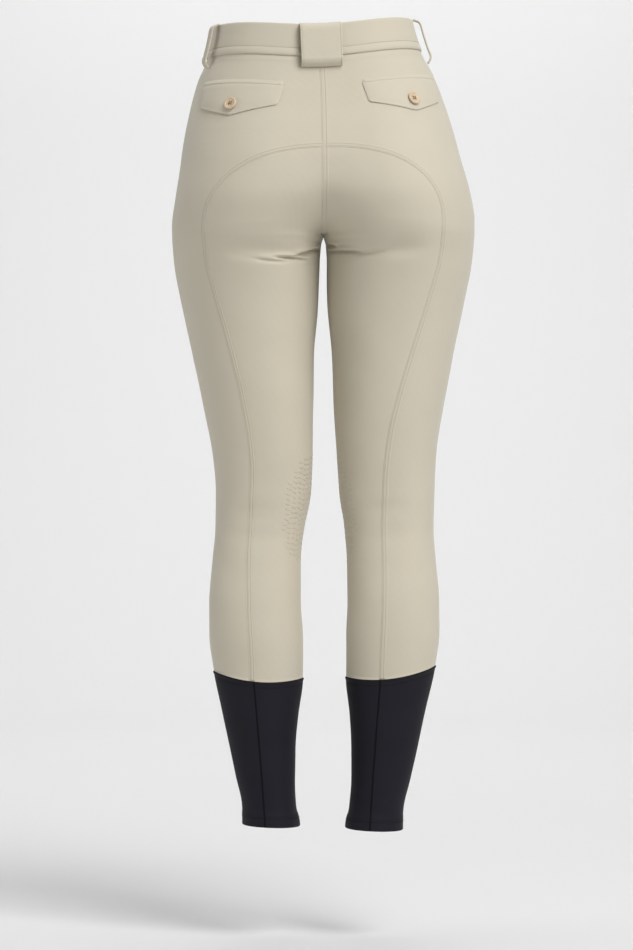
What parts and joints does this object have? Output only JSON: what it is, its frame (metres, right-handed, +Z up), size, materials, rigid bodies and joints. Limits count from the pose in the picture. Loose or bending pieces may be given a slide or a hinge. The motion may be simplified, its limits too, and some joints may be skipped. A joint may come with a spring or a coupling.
{
  "type": "riding breeches",
  "caption": "Full-length riding breeches holding their worn, hollow form, with a deep seat panel, wide back belt loop, buttoned back pocket flaps and stretch cuffs.",
  "frame": {"origin": "centre of the waist opening, level with its top edge at the sides, where the wearer holds the garment", "axes": "+X to the wearer's right, +Y to the wearer's front, +Z up"},
  "size_m": [0.3643, 0.2624, 0.9779],
  "materials": {
    "cloth": "matte",
    "cuff": "matte",
    "button": "satin"
  },
  "bodies": {
    "root": {"back_left": "cloth", "back_right": "cloth", "belt_loop_back": "cloth", "belt_loop_front_left": "cloth", "belt_loop_front_right": "cloth", "belt_loop_side_left": "cloth", "belt_loop_side_right": "cloth", "cuff_left": "cuff", "cuff_right": "cuff", "fly": "cloth", "front_left": "cloth", "front_right": "cloth", "pocket_button_left": "button", "pocket_button_right": "button", "pocket_flap_left": "cloth", "pocket_flap_right": "cloth", "pocket_welt_left": "cloth", "pocket_welt_right": "cloth", "seat_left": "cloth", "seat_right": "cloth", "waist_button": "button", "waistband": "cloth"}
  },
  "joints": []
}
